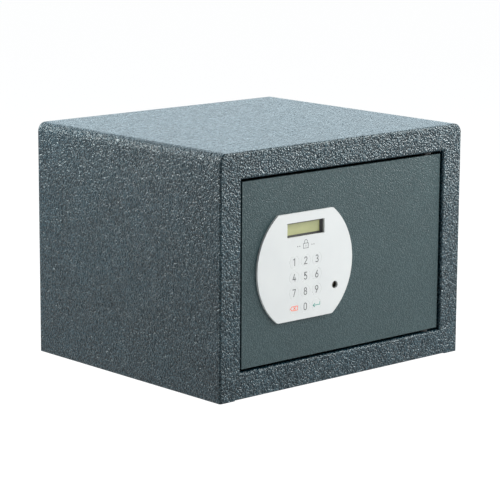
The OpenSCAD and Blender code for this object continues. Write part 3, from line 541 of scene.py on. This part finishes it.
def soften(piece, radius_mm):
    """Rounds a node's hard edges with modifiers, so that they catch the light."""
    for attribute in ("custom_normal", "sharp_edge", "sharp_face"):
        found = piece.data.attributes.get(attribute)
        if found:
            piece.data.attributes.remove(found)
    piece.data.shade_smooth()
    weld = piece.modifiers.new("weld", "WELD")
    weld.merge_threshold = WELD_MM * MM
    flat = piece.modifiers.new("flat", "DECIMATE")
    flat.decimate_type = "DISSOLVE"
    flat.angle_limit = FLAT
    bevel = piece.modifiers.new("bevel", "BEVEL")
    bevel.width = radius_mm * MM
    bevel.segments = BEVEL_SEGMENTS
    bevel.limit_method = "ANGLE"
    bevel.angle_limit = SHARP
    bevel.use_clamp_overlap = True
    even_shading(piece)


def even_shading(piece):
    """Weights normals by face area, so that flat faces look flat next to rounded edges."""
    shading = piece.modifiers.new("shading", "WEIGHTED_NORMAL")
    shading.keep_sharp = True


def soften_all():
    for name, piece in NODES.items():
        if name not in LEFT_AS_MADE:
            usual = KEY_EDGE if name.startswith("key_") else FINE_EDGE
            soften(piece, EDGES.get(name, usual))


# ---------------------------------------------------------------- new pieces


def add_piece(name, mesh, material, body):
    """Turns a bmesh into a piece of the given material that rides on a body."""
    bmesh.ops.recalc_face_normals(mesh, faces=mesh.faces)
    piece = mesh_object(name, mesh, material)
    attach(piece, body)
    return piece


ARC_STEP = math.radians(12)
# Points that lie this close are one point, in millimetres.
SAME_POINT = 1e-6


def arc(x, z, rx, rz, start, end):
    """Points on an ellipse about (x, z) from one angle to another, in degrees."""
    start, end = math.radians(start), math.radians(end)
    steps = max(2, round(abs(end - start) / ARC_STEP))
    turn = (end - start) / steps
    return [
        (x + rx * math.cos(start + i * turn), z + rz * math.sin(start + i * turn))
        for i in range(steps + 1)
    ]


def left_normal(a, b):
    """Unit vector to the left of the direction from a to b."""
    dx, dz = b[0] - a[0], b[1] - a[1]
    size = math.hypot(dx, dz)
    return -dz / size, dx / size


# ---------------------------------------------------------------- printed marks

# How far a print stands in front of its face, and how far it reaches into it.
PRINT_MM = 0.04
PRINT_SUNK_MM = 0.01
# Width of the strokes.
DIGIT_STROKE_MM = 1.0
SIGN_STROKE_MM = 0.85
LOCK_STROKE_MM = 0.6
DOT_STROKE_MM = 1.3
CAP_STEPS = 6
# A mitre reaches at most half a stroke's width over this.
MITRE_LIMIT = 0.45

# Strokes of each digit, in millimetres about its centre: about 8 high and 4.5 wide.
DIGITS = {
    "1": [[(-1.5, 2.5), (0.45, 3.6), (0.45, -3.6)]],
    "2": [arc(0, 1.75, 1.8, 1.85, 160, -38) + [(-1.85, -3.6), (1.95, -3.6)]],
    "3": [
        arc(-0.1, 1.85, 1.7, 1.75, 140, -90),
        arc(-0.1, -1.75, 1.95, 1.85, 90, -140),
    ],
    "4": [[(0.5, 3.6), (-2.0, -1.75), (2.1, -1.75)], [(1.0, 0.3), (1.0, -3.6)]],
    "5": [
        [(1.7, 3.6), (-1.35, 3.6), (-1.55, 0.35)]
        + arc(-0.1, -1.45, 1.95, 2.15, 125, -145)
    ],
    "6": [[(0.9, 3.6), (-1.55, -0.5)], arc(0, -1.6, 1.9, 2.0, 150, 510)],
    "7": [[(-1.9, 3.6), (1.8, 3.6), (-0.7, -3.6)]],
    "8": [arc(0, 1.9, 1.6, 1.7, 90, 450), arc(0, -1.7, 1.9, 1.9, 90, 450)],
    "9": [[(-0.9, -3.6), (1.55, 0.5)], arc(0, 1.6, 1.9, 2.0, -30, 330)],
    "0": [
        arc(0, 1.5, 1.8, 2.1, 180, 0)
        + arc(0, -1.5, 1.8, 2.1, 0, -180)
        + [(-1.8, 1.5)]
    ],
}
# A backspace sign for the clear key and a return arrow for the enter key.
CLEAR_SIGN = [
    [(-5.2, 0), (-3.0, 2.1), (5.0, 2.1), (5.0, -2.1), (-3.0, -2.1), (-5.2, 0)],
    [(-0.5, 1.0), (1.9, -1.0)],
    [(-0.5, -1.0), (1.9, 1.0)],
]
ENTER_SIGN = [
    [(4.8, 2.1), (4.8, -0.6), (-4.6, -0.6)],
    [(-2.4, 1.2), (-4.8, -0.6), (-2.4, -2.4)],
]
# A closed padlock between two rows of dots, as a plain pictogram.
LOCK_HALF_W = 3.4
LOCK_TOP = 0.7
LOCK_LOW = -4.4
LOCK_RAISED = 0.6
SHACKLE_R = 2.1
SHACKLE_Z = 2.3
KEYHOLE = [(0, -1.2), (0, -2.6)]
DOT_PLACES = (-11.5, -8.6, 8.6, 11.5)
DOT_Z = -1.6
DOT_HALF_LENGTH = 0.01


def stroke_sides(points, closed, half):
    """The left and the right side of a stroke along points, with mitred corners."""
    count = len(points)
    left, right = [], []
    for i, (x, z) in enumerate(points):
        normals = []
        if i or closed:
            normals.append(left_normal(points[i - 1], (x, z)))
        if i < count - 1 or closed:
            normals.append(left_normal((x, z), points[(i + 1) % count]))
        nx = sum(normal[0] for normal in normals)
        nz = sum(normal[1] for normal in normals)
        size = math.hypot(nx, nz)
        nx, nz = nx / size, nz / size
        reach = half / max(MITRE_LIMIT, nx * normals[0][0] + nz * normals[0][1])
        left.append((x + nx * reach, z + nz * reach))
        right.append((x - nx * reach, z - nz * reach))
    return left, right


def round_cap(before, end, half):
    """The half circle round the end of a stroke that comes from before, less its two ends."""
    nx, nz = left_normal(before, end)
    start = math.atan2(nz, nx)
    angles = [start - math.pi * k / CAP_STEPS for k in range(1, CAP_STEPS)]
    return [(end[0] + half * math.cos(a), end[1] + half * math.sin(a)) for a in angles]


def ribbon(mesh, path, half, y_low, y_high, place):
    """Adds a flat stroke with mitred corners and round ends to mesh, from y_low to y_high."""

    def vertex(point, y):
        return mesh.verts.new(((place[0] + point[0]) * MM, y * MM, (place[1] + point[1]) * MM))

    closed = math.dist(path[0], path[-1]) < SAME_POINT
    points = path[:-1] if closed else path
    left, right = stroke_sides(points, closed, half)
    if closed:
        rows = [
            (vertex(a, y_low), vertex(b, y_low), vertex(b, y_high), vertex(a, y_high))
            for a, b in zip(left, right)
        ]
        for here, there in zip(rows, rows[1:] + rows[:1]):
            for k in range(4):
                n = (k + 1) % 4
                mesh.faces.new((here[k], here[n], there[n], there[k]))
        return
    far_cap = round_cap(points[-2], points[-1], half)
    near_cap = round_cap(points[1], points[0], half)
    outline = left + far_cap + right[::-1] + near_cap
    front = [vertex(point, y_low) for point in outline]
    rear = [vertex(point, y_high) for point in outline]
    mesh.faces.new(front)
    mesh.faces.new(rear[::-1])
    for i in range(len(outline)):
        j = (i + 1) % len(outline)
        mesh.faces.new((front[i], rear[i], rear[j], front[j]))


def printed(name, strokes, stroke_mm, centre, face_y, material, body):
    """A printed mark made of strokes, standing a hair in front of the face at face_y."""
    mesh = bmesh.new()
    for path in strokes:
        ribbon(mesh, path, stroke_mm / 2, face_y - PRINT_MM, face_y + PRINT_SUNK_MM, centre)
    add_piece(name, mesh, material, body)


def key_marks(grey, red, teal):
    """The digits on the number keys and the signs on the clear and enter keys."""
    marks = {digit: (strokes, DIGIT_STROKE_MM, grey) for digit, strokes in DIGITS.items()}
    marks["clear"] = (CLEAR_SIGN, SIGN_STROKE_MM, red)
    marks["enter"] = (ENTER_SIGN, SIGN_STROKE_MM, teal)
    for key, (strokes, stroke_mm, material) in marks.items():
        low, high = box_mm("key_" + key)
        centre = ((low.x + high.x) / 2, (low.z + high.z) / 2)
        body = "key_" + key + "_body"
        printed("print_" + key, strokes, stroke_mm, centre, low.y, material, body)


def lock_sign(grey):
    """The padlock pictogram between the display and the keys."""
    face_y = box_mm("keypad_panel")[0].y
    window_low, window_high = box_mm("lcd_glass")
    keys_top = box_mm("key_2")[1].z
    centre = ((window_low.x + window_high.x) / 2, (window_low.z + keys_top) / 2 + LOCK_RAISED)
    body = [
        (-LOCK_HALF_W, LOCK_TOP), (LOCK_HALF_W, LOCK_TOP), (LOCK_HALF_W, LOCK_LOW),
        (-LOCK_HALF_W, LOCK_LOW), (-LOCK_HALF_W, LOCK_TOP),
    ]
    shackle = [(-SHACKLE_R, LOCK_TOP)]
    shackle += arc(0, SHACKLE_Z, SHACKLE_R, SHACKLE_R, 180, 0)
    shackle += [(SHACKLE_R, LOCK_TOP)]
    lock = [body, shackle, KEYHOLE]
    dots = [[(x - DOT_HALF_LENGTH, DOT_Z), (x + DOT_HALF_LENGTH, DOT_Z)] for x in DOT_PLACES]
    printed("print_padlock", lock, LOCK_STROKE_MM, centre, face_y, grey, "door")
    printed("print_dots", dots, DOT_STROKE_MM, centre, face_y, grey, "door")


def print_marks():
    grey = ink("ink_grey", (0.085, 0.09, 0.092))
    red = ink("ink_red", (0.62, 0.13, 0.075))
    teal = ink("ink_teal", (0.055, 0.24, 0.20))
    key_marks(grey, red, teal)
    lock_sign(grey)


# ---------------------------------------------------------------- floor mat

# The mat is a net of triangles about MAT_GRID_MM wide, with a chamfered lip along its edges.
MAT_GRID_MM = 7.0
MAT_CORNER_MM = 3.0
MAT_LIP_MM = 0.6
# Heights of the lip's rows between the underside and the top, as shares of the thickness.
MAT_LIP_ROWS = (0.75, 0.3)
# The holes lie over the four anchor holes of the floor.
MAT_HOLE_MM = 11.5
HOLES_X = 100
HOLES_Y = 75
HOLES_MIDDLE_Y = 15
MAT_HOLES = [
    (x, HOLES_MIDDLE_Y + y) for x in (-HOLES_X, HOLES_X) for y in (-HOLES_Y, HOLES_Y)
]
# Room between the net's inner points and the edges, as a share of the grid, and the holes.
EDGE_ROOM = 0.6
HOLE_ROOM_MM = 3
# The top sinks by up to MAT_WAVE_MM in long waves with ripples on them.
MAT_WAVE_MM = 0.35
WAVE_SIZE_MM = 60
RIPPLE_SIZE_MM = 14
RIPPLE_SHARE = 0.4
# The edges are ragged by up to MAT_RAGGED_MM.
MAT_RAGGED_MM = 0.5
RAGGED_SIZE_MM = 9
# Faces whose normal has more than this upright share count towards the mat's area.
LEVEL = 0.8


def uneven(x, y, size_mm, layer):
    """Smooth noise at (x, y) with features about size_mm across; layer picks the pattern."""
    return noise.noise(Vector((x / size_mm, y / size_mm, layer)))


def mat_outline(low, high):
    """The mat's outline with round corners, in steps of about MAT_GRID_MM."""
    r = MAT_CORNER_MM
    corners = (
        (high.x - r, high.y - r), (low.x + r, high.y - r),
        (low.x + r, low.y + r), (high.x - r, low.y + r),
    )
    outline = []
    for quarter, (x, y) in enumerate(corners):
        outline += arc(x, y, r, r, 90 * quarter, 90 * quarter + 90)
    dense = []
    for here, there in zip(outline, outline[1:] + outline[:1]):
        steps = max(1, round(math.dist(here, there) / MAT_GRID_MM))
        for k in range(steps):
            dense.append(tuple(h + (t - h) * k / steps for h, t in zip(here, there)))
    return dense


def mat_loops(low, high):
    """The mat's ragged outline and its four holes: lists of points with their outward normals."""
    loops = [mat_outline(low, high)]
    for x, y in MAT_HOLES:
        loops.append(arc(x, y, MAT_HOLE_MM, MAT_HOLE_MM, 360, 0)[:-1])
    shaped = []
    for loop in loops:
        points = []
        for i, (x, y) in enumerate(loop):
            nx, ny = left_normal(loop[i - 1], loop[(i + 1) % len(loop)])
            ragged = MAT_RAGGED_MM * abs(uneven(x, y, RAGGED_SIZE_MM, 0.5))
            points.append(((x + nx * ragged, y + ny * ragged), (-nx, -ny)))
        shaped.append(points)
    return shaped


def mat_grid(low, high):
    """Points of the net inside the mat, clear of its edges and holes."""
    across = range(round((high.x - low.x) / MAT_GRID_MM) + 1)
    along = range(round((high.y - low.y) / MAT_GRID_MM) + 1)
    for i in across:
        for j in along:
            x, y = low.x + i * MAT_GRID_MM, low.y + j * MAT_GRID_MM
            to_edge = min(x - low.x, high.x - x, y - low.y, high.y - y)
            to_hole = min(math.dist((x, y), hole) for hole in MAT_HOLES)
            if to_edge > MAT_GRID_MM * EDGE_ROOM and to_hole > MAT_HOLE_MM + HOLE_ROOM_MM:
                yield x, y


def mat_top(x, y, high):
    """Height of the mat's top at (x, y)."""
    wave = uneven(x, y, WAVE_SIZE_MM, 1.7) + RIPPLE_SHARE * uneven(x, y, RIPPLE_SIZE_MM, 4.1)
    return high.z - MAT_WAVE_MM * min(1.0, max(0.0, 0.5 + wave))


def mat_lip(mesh, loops, upper, lower, low, high):
    """Closes the mat's edges with rows of faces between its top and its underside."""
    first = 0
    for loop in loops:
        rings = [upper[first:first + len(loop)]]
        for share in MAT_LIP_ROWS:
            z = low.z + (high.z - low.z) * share
            rings.append([mesh.verts.new((x * MM, y * MM, z * MM)) for (x, y), _ in loop])
        rings.append(lower[first:first + len(loop)])
        for ring, below in zip(rings, rings[1:]):
            for i in range(len(loop)):
                j = (i + 1) % len(loop)
                mesh.faces.new((ring[i], ring[j], below[j], below[i]))
        first += len(loop)


def felt_mat(material):
    """The felt mat on the cabinet's floor, cut round the four anchor holes, a little uneven."""
    low, high = box_mm("floor_mat")
    loops = mat_loops(low, high)
    flat = []
    edges = []
    for loop in loops:
        first = len(flat)
        flat += [(x - nx * MAT_LIP_MM, y - ny * MAT_LIP_MM) for (x, y), (nx, ny) in loop]
        edges += [(first + i, first + (i + 1) % len(loop)) for i in range(len(loop))]
    flat += mat_grid(low, high)
    points, _, faces, _, _, _ = geometry.delaunay_2d_cdt(
        [Vector(point) for point in flat], edges, [], 0, SAME_POINT
    )
    mesh = bmesh.new()
    upper = [mesh.verts.new((p.x * MM, p.y * MM, mat_top(p.x, p.y, high) * MM)) for p in points]
    lower = [mesh.verts.new((p.x * MM, p.y * MM, low.z * MM)) for p in points]
    for face in faces:
        centre = tuple(sum(points[k][axis] for k in face) / len(face) for axis in range(2))
        if min(math.dist(centre, hole) for hole in MAT_HOLES) > MAT_HOLE_MM:
            mesh.faces.new([upper[k] for k in face])
            mesh.faces.new([lower[k] for k in reversed(face)])
    mat_lip(mesh, loops, upper, lower, low, high)
    unused = [vertex for vertex in mesh.verts if not vertex.link_faces]
    bmesh.ops.delete(mesh, geom=unused, context="VERTS")
    mesh.normal_update()
    area = sum(face.calc_area() for face in mesh.faces if abs(face.normal.z) > LEVEL) / 2
    mat = add_piece("felt_mat", mesh, material, "cabinet")
    mat.data.shade_smooth()
    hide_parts("floor_mat")


# ---------------------------------------------------------------- cells

CELL_SIDES = 48
CELL_COUNT = 4
CELL_PITCH_MM = 15.6
# Profile of a cell from its flat end to its nub: distance from the middle and radius in
# millimetres, and the finish of the band up to the next point.
CELL_PROFILE = (
    (-24.6, 0.0, "metal"), (-24.6, 4.9, "metal"), (-24.9, 5.2, "metal"), (-24.9, 6.1, "metal"),
    (-24.7, 6.3, "sleeve"), (-25.0, 6.6, "sleeve"), (-24.8, 7.0, "sleeve"), (-24.3, 7.1, "sleeve"),
    (8.0, 7.1, "copper"), (22.6, 7.1, "copper"), (23.2, 6.9, "copper"), (23.4, 6.4, "copper"),
    (23.2, 6.1, "metal"), (23.5, 5.8, "metal"), (23.5, 3.0, "metal"), (23.7, 2.75, "metal"),
    (24.7, 2.6, "metal"), (25.0, 2.2, "metal"), (25.0, 0.0, "metal"),
)


def cell_places():
    """Centre of each cell in millimetres, and the side on which its nub is."""
    low, high = box_mm("batteries")
    middle = (low + high) / 2
    for i in range(CELL_COUNT):
        z = middle.z + (i - (CELL_COUNT - 1) / 2) * CELL_PITCH_MM
        yield Vector((middle.x, middle.y, z)), 1 if i % 2 == 0 else -1


def cell_ring(mesh, centre, x, radius):
    """A ring of vertices round a cell at x, or a single vertex where the radius is 0."""
    count = CELL_SIDES if radius else 1
    ring = []
    for k in range(count):
        turn = math.tau * k / count
        y = centre.y + radius * math.cos(turn)
        z = centre.z + radius * math.sin(turn)
        ring.append(mesh.verts.new((x * MM, y * MM, z * MM)))
    return ring


def lathe_cells(finishes):
    """The four AA cells: metal ends, a crimped sleeve and a coppery part at the nub's end.

    finishes holds the material of each finish in CELL_PROFILE, with the sleeve first.
    """
    order = list(finishes)
    mesh = bmesh.new()
    for centre, side in cell_places():
        rings = [
            cell_ring(mesh, centre, centre.x + side * along, radius)
            for along, radius, _ in CELL_PROFILE
        ]
        for ring, after, (_, _, finish) in zip(rings, rings[1:], CELL_PROFILE):
            for k in range(CELL_SIDES):
                n = (k + 1) % CELL_SIDES
                pairs = ((ring, k), (ring, n), (after, n), (after, k))
                corners = [loop[i % len(loop)] for loop, i in pairs]
                face = mesh.faces.new(list(dict.fromkeys(corners)))
                face.material_index = order.index(finish)
    cells = add_piece("aa_cells", mesh, finishes["sleeve"], "door")
    for finish in order[1:]:
        cells.data.materials.append(finishes[finish])
    cells.data.shade_smooth()
    even_shading(cells)
    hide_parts("batteries")


# ---------------------------------------------------------------- light and floor

# Direction of the lit backdrop, its colour, and the darker room in front and overhead.
BACKDROP_WAY = (0.66, 0.73, 0.0)
BACKDROP = (1.60, 1.91, 2.08)
ROOM = (0.24, 0.27, 0.29)
OVERHEAD = (0.07, 0.08, 0.09)
# Cosine of the angle off the backdrop's direction, about, at which it starts and is full.
BACKDROP_STARTS = 0.1
BACKDROP_FULL = 0.6
# Sine of the elevation up to which the horizon is lit, and where it has faded.
LIT_UP_TO = 0.42
FADED_AT = 0.72
# Half the floor's side in metres, its own tone and roughness, and its even glow.
FLOOR_HALF = 15
FLOOR_TONE = 0.12
FLOOR_ROUGH = 0.9
FLOOR_GLOW = 0.95
# Place, aim and size of each soft box in metres, and its radiance.
SOFT_BOXES = {
    "key_left": ((-0.43, 0.36, 0.50), (-0.17, -0.02, 0.22), (0.2, 0.2), 38),
    "key_front": ((0.66, -0.72, 0.88), (0.0, -0.15, 0.14), (1.3, 1.0), 7.6),
    "key_side": ((0.95, -0.32, 0.34), (0.1, -0.15, 0.14), (0.22, 0.22), 23),
}
WARM = (1.0, 0.99, 0.97)


def soft_box(name, place, aim, size, radiance):
    """A rectangular area light at place that faces aim, unseen by the camera itself."""
    data = bpy.data.lights.new(name, "AREA")
    data.shape = "RECTANGLE"
    data.size, data.size_y = size
    data.energy = radiance * math.pi * size[0] * size[1]
    data.color = WARM
    light = new_object(name, data)
    light.location = place
    light.rotation_euler = (Vector(aim) - Vector(place)).to_track_quat("-Z", "Y").to_euler()
    light.visible_camera = False


def studio_world():
    """A lit backdrop behind the object, a darker room elsewhere, dark overhead."""
    world = bpy.data.worlds.new("studio")
    world.use_nodes = True
    bpy.context.scene.world = world
    nodes = Nodes(world.node_tree)
    way = nodes.new("TexCoord").outputs["Generated"]
    towards = nodes.new("VectorMath")
    towards.operation = "DOT_PRODUCT"
    towards.inputs[1].default_value = BACKDROP_WAY
    nodes.link(way, towards.inputs[0])
    split = nodes.new("SeparateXYZ")
    nodes.link(way, split.inputs["Vector"])
    facing = nodes.fade(towards.outputs["Value"], BACKDROP_STARTS, BACKDROP_FULL)
    rising = nodes.fade(split.outputs["Z"], LIT_UP_TO, FADED_AT)
    round_about = nodes.blend(facing, ROOM, BACKDROP)
    sky = nodes.blend(rising, round_about, OVERHEAD)
    nodes.link(sky, nodes.find("BACKGROUND").inputs["Color"])


def studio_floor():
    """A pale, evenly lit floor."""
    mesh = bmesh.new()
    bmesh.ops.create_grid(mesh, x_segments=2, y_segments=2, size=FLOOR_HALF)
    white = Paint("floor_white")
    white.set(
        Base_Color=(FLOOR_TONE, FLOOR_TONE, FLOOR_TONE, 1), Roughness=FLOOR_ROUGH,
        Specular_IOR_Level=0.0, Emission_Color=(1, 1, 1, 1), Emission_Strength=FLOOR_GLOW,
    )
    mesh_object("floor", mesh, white.material)


def studio():
    """The floor, the surroundings and the soft boxes."""
    bpy.context.scene.view_settings.view_transform = "Standard"
    studio_world()
    studio_floor()
    for name, (place, aim, size, radiance) in SOFT_BOXES.items():
        soft_box(name, place, aim, size, radiance)


add_camera()
materials = paint_nodes()
soften_all()
print_marks()
felt_mat(materials["mat_felt"])
lathe_cells({
    "sleeve": materials["cell_sleeve"],
    "metal": materials["zinc_plate"],
    "copper": copper_sleeve(),
})
studio()
